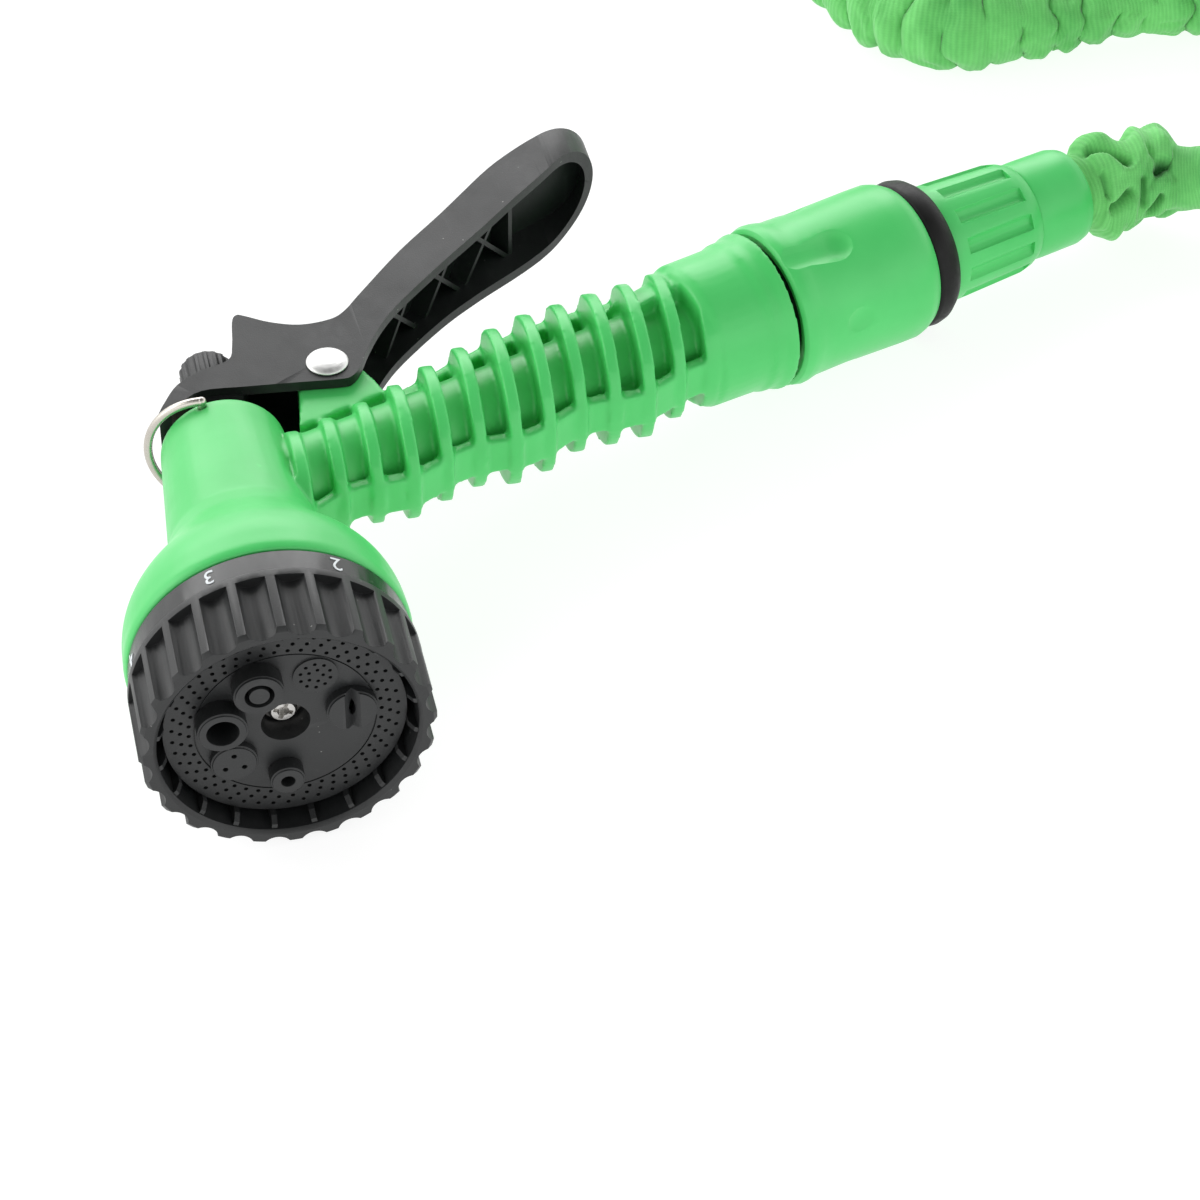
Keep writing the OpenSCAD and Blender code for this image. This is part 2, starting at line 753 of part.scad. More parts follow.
module tube(route, r, sides) {
  last = len(route) - 1;
  polyhedron(
    points = [for (i = [0 : last]) each tube_ring(route, i, r, sides)],
    faces = concat(
      [[for (k = [0 : sides - 1]) k]],
      [for (i = [0 : last - 1]) for (k = [0 : sides - 1])
        let (a = i * sides + k, b = i * sides + (k + 1) % sides)
        [b, a, a + sides, b + sides]],
      [[for (k = [sides - 1 : -1 : 0]) last * sides + k]]
    )
  );
}

module hose_run() {
  color(fabric_green) tube(run_route, hose_r, 10);
}

module hose_tail() {
  color(fabric_green) tube(tail_route, hose_r, 10);
}

// Outline of three touching strands, two below and one on top, r thick
module bundle(r) {
  lift = 0.866 * turn_gap;
  base = hose_r;
  union() {
    translate([coil_r - turn_gap / 2, base]) circle(r = r);
    translate([coil_r + turn_gap / 2, base]) circle(r = r);
    translate([coil_r, base + lift]) circle(r = r);
    polygon([
      [coil_r - turn_gap / 2, base - r], [coil_r + turn_gap / 2, base - r],
      [coil_r + turn_gap / 2 + 0.866 * r, base + r / 2],
      [coil_r + 0.866 * r, base + lift + r / 2],
      [coil_r - 0.866 * r, base + lift + r / 2],
      [coil_r - turn_gap / 2 - 0.866 * r, base + r / 2]
    ]);
  }
}

module hose_coil() {
  color(fabric_green) translate([coil_x, coil_y, 0.2])
    rotate_extrude($fn = 96) bundle(hose_r);
}

module hose_tie() {
  color(black) translate([coil_x, coil_y, 0.2]) rotate([0, 0, -35]) intersection() {
    rotate([90, 0, 0]) translate([0, 0, -9]) linear_extrude(18) difference() {
      bundle(hose_r + 1.8);
      bundle(hose_r + 0.2);
    }
    translate([60, -20, 0]) cube([90, 40, 60]);
  }
}

// ---- Tap end of the hose ---------------------------------------------------

tap_x = 97.6;
tap_y = 186;
tap_z = 17.2;

module tap_collar() {
  color(green) translate([tap_x, tap_y, tap_z]) rotate([-90, 0, 0])
    rotate_extrude() polygon([
      [8.4, 0], [10.6, 0], [12, 1.2], [12.3, 3], [12.3, 14.5], [14.5, 16],
      [14.5, 18.8], [6, 18.8], [6, 14.5], [8.4, 14.5]
    ]);
}

module tap_nut() {
  color(green) translate([tap_x, tap_y + 15.6, tap_z]) rotate([-90, 0, 0]) difference() {
    rotate_extrude($fn = 96) polygon([
      [12.5, 0], [15.4, 0], [16.8, 1.6], [17, 4], [17, 24], [16.4, 25.4],
      [13.3, 25.4], [13.3, 5.8], [13.6, 5.8], [13.6, 3.2], [14.7, 3.2], [14.7, 0.9],
      [12.5, 0.9]
    ]);
    for (i = [0 : 15]) rotate([0, 0, i * 22.5])
      translate([18.2, 0, 5]) cylinder(r = 2.2, h = 17, $fn = 32);
  }
}

module tap_washer() {
  color([0.15, 0.15, 0.15]) translate([tap_x, tap_y + 18.8, tap_z]) rotate([-90, 0, 0])
    ring(13.5, 6.5, 2.6);
}

gun_body();
port_seal();
seal_spring();
detent_ball();
detent_spring();
dial_ring();
spray_plate();
selector_disc();
flat_tip();
soaker_disc();
cone_tip();
stream_tip();
mist_disc();
jet_tip();
dial_washer();
dial_screw();
valve_stem();
valve_plunger();
valve_washer();
valve_spring();
stem_o_ring();
gland_nut();
flow_knob();
lever();
lever_rivet();
lock_wire();
inlet_spigot();
spigot_o_ring();
connector_body();
connector_seal();
locking_claws();
connector_sleeve();
sleeve_bumper();
sleeve_spring();
hose_nut();
hose_collar();
hose_run();
hose_coil();
hose_tail();
hose_tie();
tap_collar();
tap_nut();
tap_washer();
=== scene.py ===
import json
import math

import bmesh
import bpy
import numpy as np
from mathutils import Matrix, Vector


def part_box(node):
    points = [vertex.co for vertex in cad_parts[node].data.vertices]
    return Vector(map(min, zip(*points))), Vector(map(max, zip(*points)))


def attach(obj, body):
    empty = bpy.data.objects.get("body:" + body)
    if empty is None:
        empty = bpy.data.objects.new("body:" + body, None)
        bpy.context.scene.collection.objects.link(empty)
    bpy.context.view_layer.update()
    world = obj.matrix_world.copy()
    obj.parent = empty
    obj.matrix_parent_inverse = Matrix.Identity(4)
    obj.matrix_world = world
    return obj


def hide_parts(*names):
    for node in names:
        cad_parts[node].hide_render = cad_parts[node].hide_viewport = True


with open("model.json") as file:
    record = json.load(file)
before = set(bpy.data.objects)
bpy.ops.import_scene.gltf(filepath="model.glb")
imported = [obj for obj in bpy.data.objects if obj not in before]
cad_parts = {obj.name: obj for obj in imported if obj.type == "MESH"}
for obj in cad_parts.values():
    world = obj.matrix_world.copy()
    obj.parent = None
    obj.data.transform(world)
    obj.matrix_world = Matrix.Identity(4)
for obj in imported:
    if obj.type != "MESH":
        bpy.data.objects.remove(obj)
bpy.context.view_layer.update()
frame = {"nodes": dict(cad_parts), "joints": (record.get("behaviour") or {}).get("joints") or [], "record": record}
nodes = frame["nodes"]
MM = 0.001

# ---- Frames -----------------------------------------------------------------
# The gun's own frame: dial face at y = 0, barrel axis along +Y, handle in z = 0.

joint_axis = {j["name"]: Vector(j["axis"]) for j in frame["joints"]}
dial_low, dial_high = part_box("dial_ring")
gun_origin = Vector((
    (dial_low.x + dial_high.x) / 2, dial_low.y, (dial_low.z + dial_high.z) / 2))
hinge_axis = joint_axis["trigger_squeeze"].normalized()
if hinge_axis.z < 0:
    hinge_axis = -hinge_axis
spray_axis = Vector((0, 1, 0))
across_axis = spray_axis.cross(hinge_axis).normalized()
gun_turn = Matrix((across_axis, spray_axis, hinge_axis)).transposed()


def gun(x, y, z):
    """Point of the gun's own frame, given in millimetres, in the row frame."""
    return gun_origin + gun_turn @ Vector((x, y, z)) * MM


def round_spray(r, angle, y):
    """Point at radius r and angle round the spray axis, y behind the dial's face."""
    a = math.radians(angle)
    return gun(r * math.cos(a), y, r * math.sin(a))


# ---- Camera -------------------------------------------------------------------

camera_data = bpy.data.cameras.new("camera")
camera_data.sensor_width = 36
camera_data.lens = 103.354
camera_data.clip_end = 20
camera = bpy.data.objects.new("camera", camera_data)
camera.location = (-0.11436, -0.5931, 0.53832)
camera.rotation_euler = [math.radians(a) for a in (46.12412, 3.20092, -12.90102)]
bpy.context.scene.collection.objects.link(camera)
bpy.context.scene.camera = camera

# ---- Small tools ----------------------------------------------------------------


def add_mesh(name, vertices, faces, material=None, smooth=True):
    mesh = bpy.data.meshes.new(name)
    mesh.from_pydata([tuple(v) for v in vertices], [], faces)
    mesh.update()
    mesh.polygons.foreach_set("use_smooth", [smooth] * len(mesh.polygons))
    piece = bpy.data.objects.new(name, mesh)
    bpy.context.scene.collection.objects.link(piece)
    if material is not None:
        mesh.materials.append(material)
    return piece


def ease(t):
    t = np.clip(t, 0, 1)
    return t * t * (3 - 2 * t)


class Noise:
    """Gradient noise on numpy arrays, the same on every run."""

    def __init__(self, seed):
        draw = np.random.default_rng(seed)
        self.order = np.concatenate([draw.permutation(256)] * 2)
        slopes = draw.normal(size=(256, 3))
        self.slopes = slopes / np.linalg.norm(slopes, axis=1)[:, None]

    def __call__(self, x, y, z):
        p = np.stack(np.broadcast_arrays(x, y, z), -1).astype(float)
        cell = np.floor(p).astype(int)
        f = p - cell
        u = f * f * f * (f * (f * 6 - 15) + 10)
        total = np.zeros(p.shape[:-1])
        for corner in range(8):
            step = np.array([corner & 1, corner >> 1 & 1, corner >> 2 & 1])
            c = (cell + step) & 255
            k = self.order[self.order[self.order[c[..., 0]] + c[..., 1]] + c[..., 2]]
            dot = ((f - step) * self.slopes[k]).sum(-1)
            total += dot * np.where(step, u, 1 - u).prod(-1)
        return total * 1.5


def through(points, step):
    """Evenly spaced points on the smooth curve through the given ones."""
    p = np.array(points, float)
    ends = np.vstack([2 * p[0] - p[1], p, 2 * p[-1] - p[-2]])
    t = np.linspace(0, 1, 24, endpoint=False)[:, None]
    out = []
    for i in range(1, len(ends) - 2):
        a, b, c, d = ends[i - 1:i + 3]
        out.append(0.5 * (2 * b + (c - a) * t + (2 * a - 5 * b + 4 * c - d) * t ** 2
                          + (3 * b - a - 3 * c + d) * t ** 3))
    curve = np.vstack(out + [p[-1:]])
    run = np.r_[0, np.cumsum(np.linalg.norm(np.diff(curve, axis=0), axis=1))]
    marks = np.linspace(0, run[-1], max(2, int(round(run[-1] / step)) + 1))
    return np.stack([np.interp(marks, run, curve[:, k]) for k in range(3)], 1)


# ---- Materials --------------------------------------------------------------------


class Nodes:
    """A material's node tree, built one line per node."""

    def __init__(self, name):
        self.material = bpy.data.materials.new(name)
        self.material.use_nodes = True
        self.tree = self.material.node_tree
        self.shader = self.tree.nodes["Principled BSDF"]

    def add(self, kind, settings=(), **sockets):
        node = self.tree.nodes.new(kind)
        for key, value in dict(settings).items():
            setattr(node, key, value)
        for key, value in sockets.items():
            self.put(node, key, value)
        return node

    def put(self, node, key, value):
        socket = node.inputs[int(key[1:])] if key[0] == "i" and key[1:].isdigit() \
            else node.inputs[key.replace("_", " ")]
        if isinstance(value, bpy.types.NodeSocket):
            self.tree.links.new(value, socket)
        else:
            socket.default_value = value

    def coords(self):
        return self.add("ShaderNodeTexCoord").outputs["Object"]

    def noise(self, scale, detail=2, rough=0.5, where=None, stretch=None):
        where = where or self.coords()
        if stretch:
            where = self.add("ShaderNodeMapping", Vector=where, Scale=stretch).outputs[0]
        return self.add("ShaderNodeTexNoise", Vector=where, Scale=scale,
                        Detail=detail, Roughness=rough).outputs["Fac"]

    def span(self, value, low, high, to_low, to_high):
        return self.add("ShaderNodeMapRange", i0=value, i1=low, i2=high, i3=to_low,
                        i4=to_high).outputs[0]

    def math(self, kind, a, b=0.0):
        return self.add("ShaderNodeMath", {"operation": kind}, i0=a, i1=b).outputs[0]

    def mix(self, factor, a, b):
        node = self.add("ShaderNodeMix", {"data_type": "RGBA"})
        self.put(node, "i0", factor)
        self.put(node, "i6", a)
        self.put(node, "i7", b)
        return node.outputs[2]

    def bump(self, height, distance, strength=1.0, before=None):
        node = self.add("ShaderNodeBump", Height=height, Distance=distance,
                        Strength=strength)
        if before is not None:
            self.put(node, "Normal", before)
        return node.outputs[0]

    def finish(self, **sockets):
        for key, value in sockets.items():
            self.put(self.shader, key, value)
        return self.material


def rgb(r, g, b):
    return (r, g, b, 1)


def moulded(name, dark, light, rough, grain, specks=0.0, sheen=0.35, peel=0.05):
    """Injection-moulded plastic: drifting tint, fine grain, waviness, worn edges."""
    n = Nodes(name)
    where = n.coords()
    drift = n.span(n.noise(38, 4, 0.6, where), 0.3, 0.7, 0, 1)
    colour = n.mix(drift, dark, light)
    worn = n.span(n.add("ShaderNodeNewGeometry").outputs["Pointiness"], 0.52, 0.6, 0, 1)
    scuff = n.span(n.noise(260, 3, 0.6, where), 0.45, 0.75, 0, 1)
    edge = tuple(min(1, c * 1.5 + 0.02) for c in light[:3]) + (1,)
    colour = n.mix(n.math("MULTIPLY", n.math("MULTIPLY", worn, scuff), 0.4), colour, edge)
    if specks:
        cell = n.add("ShaderNodeTexVoronoi", {"feature": "F1"}, Vector=where,
                     Scale=420.0).outputs["Distance"]
        dot = n.span(cell, 0.05, 0.11, 1, 0)
        rare = n.span(n.noise(900, 1, 0.5, where), 0.6, 0.66, 0, 1)
        dust = n.math("MULTIPLY", n.math("MULTIPLY", dot, rare), specks)
        colour = n.mix(dust, colour, rgb(0.42, 0.42, 0.4))
    smudge = n.noise(90, 5, 0.65, where)
    roughness = n.span(smudge, 0.3, 0.7, rough - 0.05, rough + 0.07)
    fine = n.bump(n.noise(3200, 2, 0.5, where), 0.00006, grain)
    wavy = n.bump(n.noise(150, 2, 0.5, where), 0.0004, peel, fine)
    return n.finish(Base_Color=colour, Roughness=roughness, Normal=wavy,
                    Specular_IOR_Level=sheen)


def metal(name, colour, dull, rough, brushed=(1, 1, 1), wear=0.25):
    n = Nodes(name)
    where = n.coords()
    streak = n.noise(1500, 3, 0.6, where, brushed)
    stain = n.span(n.noise(160, 4, 0.6, where), 0.4, 0.75, 0, wear)
    return n.finish(
        Base_Color=n.mix(stain, colour, dull), Metallic=1.0,
        Roughness=n.span(streak, 0.3, 0.7, rough - 0.06, rough + 0.1),
        Normal=n.bump(streak, 0.00003, 0.4))


def rubber(name, tone):
    n = Nodes(name)
    where = n.coords()
    bloom = n.span(n.noise(70, 5, 0.65, where), 0.4, 0.75, 0, 0.35)
    return n.finish(
        Base_Color=n.mix(bloom, rgb(tone, tone, tone), rgb(tone * 1.8, tone * 1.8, tone * 1.7)),
        Roughness=n.span(n.noise(500, 3, 0.6, where), 0.3, 0.7, 0.42, 0.56),
        Specular_IOR_Level=0.25,
        Normal=n.bump(n.noise(2600, 2, 0.6, where), 0.00008, 0.35))


def woven(name, dark, light, along, across, rows=0.00095, columns=0.00055, depth=0.00006,
          painted_valley_shade=None):
    """Woven or knitted cloth: rows across the piece's U direction, columns across V."""
    n = Nodes(name)
    cloth = n.add("ShaderNodeUVMap", {"uv_map": "weave"}).outputs["UV"]
    parts = n.add("ShaderNodeSeparateXYZ", Vector=cloth)
    wander = n.noise(120, 2, 0.5)
    turn = n.math("MULTIPLY", wander, 5.0)
    row = n.math("SINE", n.math("ADD", n.math("MULTIPLY", parts.outputs[0],
                                              2 * math.pi / rows), turn))
    column = n.math("SINE", n.math("MULTIPLY", parts.outputs[1], 2 * math.pi / columns))
    stitch = n.math("ADD", n.math("MULTIPLY", row, along), n.math("MULTIPLY", column, across))
    # Painted highlight and shade: the colour is lighter on the raised stitches and darker between them, in step
    # with the stitch bump
    painted_stitch_light = n.span(stitch, -1, 1, 0, 1)
    tint = n.span(n.noise(55, 5, 0.65), 0.3, 0.7, 0, 1)
    base = n.mix(n.math("ADD", n.math("MULTIPLY", painted_stitch_light, 0.28), n.math("MULTIPLY", tint, 0.72)),
                 dark, light)
    # Painted shade: the colour darkens towards the valley colour where the hose's folds are deep
    if painted_valley_shade is not None:
        painted_fold_shade = n.add("ShaderNodeAttribute", {"attribute_name": "painted_fold_shade"}).outputs["Fac"]
        base = n.mix(painted_fold_shade, base, painted_valley_shade)
    fuzz = n.bump(n.noise(5200, 2, 0.6), 0.00004, 0.5)
    return n.finish(Base_Color=base, Roughness=0.86, Specular_IOR_Level=0.22,
                    Sheen_Weight=0.25, Sheen_Roughness=0.45,
                    Normal=n.bump(stitch, depth, 0.9, fuzz))


green = moulded("green_plastic", rgb(0.066, 0.545, 0.128), rgb(0.082, 0.600, 0.152),
                0.34, 0.25, sheen=0.42, peel=0.06)
black = moulded("black_plastic", rgb(0.0095, 0.0103, 0.0106), rgb(0.014, 0.0152, 0.0157),
                0.40, 0.55, specks=0.55, sheen=0.32, peel=0.05)
dial_black = moulded("dial_plastic", rgb(0.0095, 0.0103, 0.0106), rgb(0.014, 0.0152, 0.0157),
                     0.40, 0.55, specks=0.55, sheen=0.5, peel=0.05)
band_black = moulded("black_band", rgb(0.0090, 0.0097, 0.0100), rgb(0.0125, 0.0133, 0.0137),
                     0.22, 0.2, specks=0.2, sheen=0.4)
ivory = moulded("ivory_plastic", rgb(0.62, 0.57, 0.42), rgb(0.70, 0.65, 0.50), 0.4, 0.3)
ink = moulded("white_ink", rgb(0.70, 0.74, 0.76), rgb(0.80, 0.84, 0.86), 0.5, 0.6)
steel = metal("steel", rgb(0.63, 0.62, 0.60), rgb(0.40, 0.39, 0.37), 0.28, (1, 1, 9))
satin_steel = metal("satin_steel", rgb(0.74, 0.74, 0.73), rgb(0.52, 0.52, 0.51), 0.42,
                    (1, 1, 1), 0.15)
wire_metal = metal("nickel_wire", rgb(0.56, 0.53, 0.48), rgb(0.30, 0.27, 0.23), 0.26)
brass = metal("brass", rgb(0.62, 0.44, 0.17), rgb(0.30, 0.20, 0.09), 0.3)
black_rubber = rubber("rubber", 0.004)
# The hose's valley colour is painted shade for its deep fold valleys
hose_cloth = woven("hose_fabric", rgb(0.090, 0.41, 0.100), rgb(0.205, 0.68, 0.195), 0.75, 0.25,
                   painted_valley_shade=rgb(0.030, 0.20, 0.045))
strap_cloth = woven("tie_fabric", rgb(0.008, 0.008, 0.009), rgb(0.03, 0.03, 0.032), 0.5, 0.5,
                    0.0012, 0.0009, 0.0002)

SLOT_MATERIAL = {
    "green_plastic": green, "black_plastic": black, "rubber": black_rubber,
    "steel": steel, "nickel_wire": wire_metal, "brass": brass, "ivory_plastic": ivory,
    "hose_fabric": hose_cloth, "tie_fabric": strap_cloth,
}

# ---- Hose ------------------------------------------------------------------------
# Centre line: connector, up onto the coil's top turn, down to its inner turn, out to
# its outer turn, then back past the grip to the tap end.

run_route = [
    (122, 52.6, 15.8), (129, 54.3, 15.0), (137, 55.2, 14.2), (145, 54.6, 13.6),
    (153, 52.2, 13.8), (161, 48.2, 16.0), (169, 42.4, 20.2), (177, 34.6, 25.1),
    (184.6, 25.4, 28.6), (191.4, 14.6, 29.4), (197, 3, 29),
]
tail_route = [
    (300, 136, 10.2), (280, 136.2, 10.2), (260, 136.6, 10.2), (240, 137, 10.2),
    (220, 137, 10.2), (200, 136, 10.2), (182, 134.6, 10.4), (166, 134.2, 10.2),
    (152, 134.4, 10.2), (138, 135.2, 10.6), (124, 137.2, 11.2), (112, 143.4, 11.2),
    (103.4, 153.4, 10.8), (98.6, 165.8, 11.8), (97.6, 176.6, 14), (97.6, 186, 16),
]
COIL = (300, 25)
TOP_Z, BASE_Z = 28.4, 10.2
# angle run through, radius and height along the coil
coil_stations = [
    (205, 102, 28.6), (225, 100.5, TOP_Z), (488, 100.5, TOP_Z), (532, 90, BASE_Z),
    (815, 90, BASE_Z), (858, 111, BASE_Z), (1150, 111, BASE_Z),
]


def coil_points():
    """Centre line of the coil, a point every 12 degrees."""
    out = []
    for a in np.arange(coil_stations[0][0], coil_stations[-1][0] + 6, 12.0):
        i = max(k for k, s in enumerate(coil_stations[:-1]) if s[0] <= a)
        (a0, r0, z0), (a1, r1, z1) = coil_stations[i:i + 2]
        t = ease((a - a0) / (a1 - a0))
        r, z = r0 + (r1 - r0) * t, z0 + (z1 - z0) * t
        out.append((COIL[0] + r * math.cos(math.radians(a)),
                    COIL[1] + r * math.sin(math.radians(a)), z))
    return out


STEP = 0.5
line = through(run_route + coil_points() + tail_route, STEP)
line_run = np.arange(len(line)) * STEP
total = line_run[-1]

# The tube's rings: close together where the hose shows at its two ends, wider in the coil.
# It runs on a little way into the collars that hold it.
SIDES = 120
TUCK = 6
FINE_START, FINE_END = 84, 330
START_GAP, COIL_GAP, END_GAP = 0.5, 1.4, 0.6
ring_run = np.r_[
    np.arange(-TUCK, FINE_START, START_GAP),
    np.arange(FINE_START, total - FINE_END, COIL_GAP),
    np.arange(total - FINE_END, total + TUCK, END_GAP)]

# Radius before creasing at stations along the hose: from the connector, from the tap end
start_radius = [(-6, 7.9), (0, 8.0), (4.4, 8.7), (5.4, 10.6), (8, 11.5), (15, 11.4),
                (24, 11.2), (27, 10.0), (29.5, 8.2), (33, 7.8), (50, 8.1), (66, 9.2)]
end_radius = [(-6, 7.9), (0, 8.1), (2, 10.0), (8, 10.8), (24, 10.4), (40, 11.6), (50, 13.0),
              (58, 13.4), (66, 12.4), (76, 10.8), (84, 9.2), (96, 8.7), (106, 8.9),
              (112, 10.4), (120, 12.2), (132, 10.2)]
near = np.interp(ring_run, *zip(*start_radius))
far = np.interp(total - ring_run, *zip(*end_radius))
slow = Noise(3)
plain = 9.6 + 1.0 * slow(ring_run / 24, 0.3, 0.7)
w_near = ease((68 - ring_run) / 20)
w_far = ease((150 - (total - ring_run)) / 26)
base_radius = plain * (1 - w_near) * (1 - w_far) + near * w_near + far * w_far

theta = np.arange(SIDES) * 2 * math.pi / SIDES
S, T = np.meshgrid(ring_run, theta, indexing="ij")
cx, cy = np.cos(T), np.sin(T)
warp, small_warp, mask, pucker, drift = (Noise(k) for k in (11, 12, 13, 14, 15))
bend = 5.0 * warp(S / 20, cx * 0.7, cy * 0.7) + 1.5 * warp(S / 8 + 40, cx * 1.5, cy * 1.5)


FOLD_GAP, WRINKLE_GAP = 8.4, 3.5
AHEAD = 0.3


def fold_height(s):
    """Gathered folds: rounded crests with narrow valleys that run round the hose."""
    return np.sqrt(np.sin(math.pi * (s + bend) / FOLD_GAP) ** 2 + 0.02)


big = fold_height(S)
big_ahead = fold_height(S + AHEAD)
small = np.sqrt(np.sin(math.pi * (S + 1.7 * bend) / WRINKLE_GAP + 0.8) ** 2 + 0.05)
# Folds start and end part of the way round
reach = ease((mask(S / 10, cx * 1.3, cy * 1.3) + 0.42) / 0.7)
small_reach = ease((small_warp(S / 8, cx * 1.8, cy * 1.8) + 0.1) / 0.6)
# How strongly the fabric is gathered: little on the smooth stretch after the first lumps
gather = 1 - 0.93 * (ease((S - 26) / 4) * ease((62 - S) / 14))
gather *= 1 - 0.75 * ease((28 - S) / 4)
gather *= 0.9 + 0.4 * drift(S / 40, cx * 0.4, cy * 0.4)
tucked = ease((S - 0.5) / 4) * ease((total - S - 0.5) / 4)
crease = tucked * gather * (3.5 * reach * (big - 0.66) + 1.0 * small_reach * (small - 0.6))
crease += 0.9 * tucked * gather * pucker(S / 16, cx * 1.2, cy * 1.2)

# Ridges and pinches of the first lumps, each along a line on the hose's skin:
# run and angle at both ends, height, half width
ridges = [
    (7.6, 140, 10, 112, 2.0, 2.4), (15.4, 172, 15, 112, -2.8, 2.0),
    (20.5, 160, 24.5, 150, 2.6, 3.4), (19, 134, 18.2, 72, 2.0, 2.2),
    (24.5, 150, 25.6, 96, 2.0, 2.2), (6.4, 100, 13.4, 62, -4.2, 1.3),
    (7.6, 86, 9.8, 52, 1.2, 1.3), (10, 52, 16, 56, 1.2, 1.6), (23, 50, 24.4, 60, -6.4, 1.5),
    (20, 82, 23, 60, -1.2, 0.9), (20.2, 30, 23, 50, -1.2, 0.9), (26.4, 66, 28.2, 40, -1.0, 1.1),
    (7.6, 2, 12.4, 22, -3.8, 1.3), (17.6, 38, 17.8, 4, -2.6, 1.0), (20.4, -10, 23.8, 11, -3.2, 1.2),
    (9.4, -30, 11.4, -66, 2.4, 2.8), (20.5, -46, 26, -40, -2.6, 3.4), (5.6, 54, 5.8, 22, -2.6, 0.8),
    (13.4, 12, 15, -30, 1.3, 1.4), (12.5, 200, 13.5, 250, -3.0, 1.5),
    (19, 190, 22, 225, -2.6, 1.4), (16, 235, 17, 290, 1.8, 2.0), (23.5, 250, 22.5, 300, -2.4, 1.6),
    (9.5, 215, 8.5, 280, 1.5, 2.0),
]
SKIN_R = 11.0
for s0, a0, s1, a1, height, half in ridges:
    turn = (T - math.radians(a0) + math.pi) % (2 * math.pi) - math.pi
    px, py = S - s0, SKIN_R * turn
    qx, qy = s1 - s0, SKIN_R * math.radians(a1 - a0)
    t = np.clip((px * qx + py * qy) / (qx * qx + qy * qy), 0, 1)
    crease += height * np.exp(-((px - t * qx) ** 2 + (py - t * qy) ** 2) / half ** 2)

THINNEST, FATTEST = 5.4, 14.3
radius = np.clip(base_radius[:, None] + crease, THINNEST, FATTEST)
# Each fold leans over along the hose, by as much as its side is steep
LEAN, MOST_LEAN = 2.56, 1.4
push = -LEAN * gather * tucked * reach * (big_ahead - big) / AHEAD
push = np.clip(push, -MOST_LEAN, MOST_LEAN)

centre = np.stack([np.interp(ring_run, line_run, line[:, k]) for k in range(3)], 1)
ahead = np.gradient(line, axis=0)
ahead = np.stack([np.interp(ring_run, line_run, ahead[:, k]) for k in range(3)], 1)
ahead /= np.linalg.norm(ahead, axis=1)[:, None]
# Past its two ends the centre line runs straight on
for mark, out in ((0, ring_run < 0), (total, ring_run > total)):
    centre[out] += ahead[out] * (ring_run[out] - mark)[:, None]
sideways = np.cross(ahead, [0, 0, 1.0])
sideways /= np.linalg.norm(sideways, axis=1)[:, None]
upward = np.cross(sideways, ahead)
P = (centre[:, None] + radius[..., None] * (cx[..., None] * sideways[:, None]
                                            + cy[..., None] * upward[:, None])
     + push[..., None] * ahead[:, None])
# The fabric flattens where it lies on the surface
LOWEST, SOFT = 0.25, 1.2
z = P[..., 2]
P[..., 2] = LOWEST + SOFT * np.log1p(np.exp(np.clip((z - LOWEST) / SOFT, -30, 30)))

count = len(ring_run)
index = np.arange(count * SIDES).reshape(count, SIDES)
a, b = index[:-1], index[1:]
quads = np.stack([a, np.roll(a, -1, 1), np.roll(b, -1, 1), b], -1).reshape(-1, 4)
start_cap, end_cap = index[0, ::-1].tolist(), index[-1].tolist()
hose = add_mesh("hose", P.reshape(-1, 3) * MM, quads.tolist() + [start_cap, end_cap],
                hose_cloth)
# How deep in a fold each point lies: painted shade, darkening the hose's colour in its fold valleys
painted_fold_shade = np.clip(-0.12 - crease / 4.6, 0, 0.85)
hose.data.attributes.new("painted_fold_shade", "FLOAT", "POINT").data.foreach_set(
    "value", painted_fold_shade.astype(np.float32).ravel())
# The weave's coordinates: metres along the hose and round it
WEAVE_R = 10.2
weave = hose.data.uv_layers.new(name="weave")
u = np.repeat(ring_run, SIDES).reshape(count, SIDES) * MM
v = np.arange(SIDES + 1) * (2 * math.pi * WEAVE_R / SIDES) * MM
corner_u = np.stack([u[:-1], u[:-1], u[1:], u[1:]], -1)
low_v, high_v = v[:-1][None].repeat(count - 1, 0), v[1:][None].repeat(count - 1, 0)
corner_v = np.stack([low_v, high_v, high_v, low_v], -1)
flat_uv = np.stack([corner_u, corner_v], -1).reshape(-1, 2)
flat_uv = np.vstack([flat_uv, np.zeros((2 * SIDES, 2))])
weave.data.foreach_set("uv", flat_uv.astype(np.float32).ravel())

# ---- Tie round the coil --------------------------------------------------------------

# A strap pulled tight round the three turns of hose that lie side by side and on top
TIE_ANGLE = -35
STRAND_R = 10.4
strands = [(90, BASE_Z), (111, BASE_Z), (100.5, TOP_Z)]
outline = []
for f in np.radians(np.arange(0, 360, 1.5)):
    d = np.array([math.cos(f), math.sin(f)])
    best = max(strands, key=lambda c: c[0] * d[0] + c[1] * d[1])
    outline.append(np.array(best) + STRAND_R * d)
outline = np.array(outline + outline[:1])
run = np.r_[0, np.cumsum(np.linalg.norm(np.diff(outline, axis=0), axis=1))]
LAPS = 160
marks = np.linspace(0, run[-1], LAPS, endpoint=False)
outline = np.stack([np.interp(marks, run, outline[:, k]) for k in range(2)], 1)
outline[:, 1] = np.maximum(outline[:, 1], 0.5)
tangent = np.roll(outline, -1, 0) - np.roll(outline, 1, 0)
tangent /= np.linalg.norm(tangent, axis=1)[:, None]
outward = np.stack([tangent[:, 1], -tangent[:, 0]], 1)
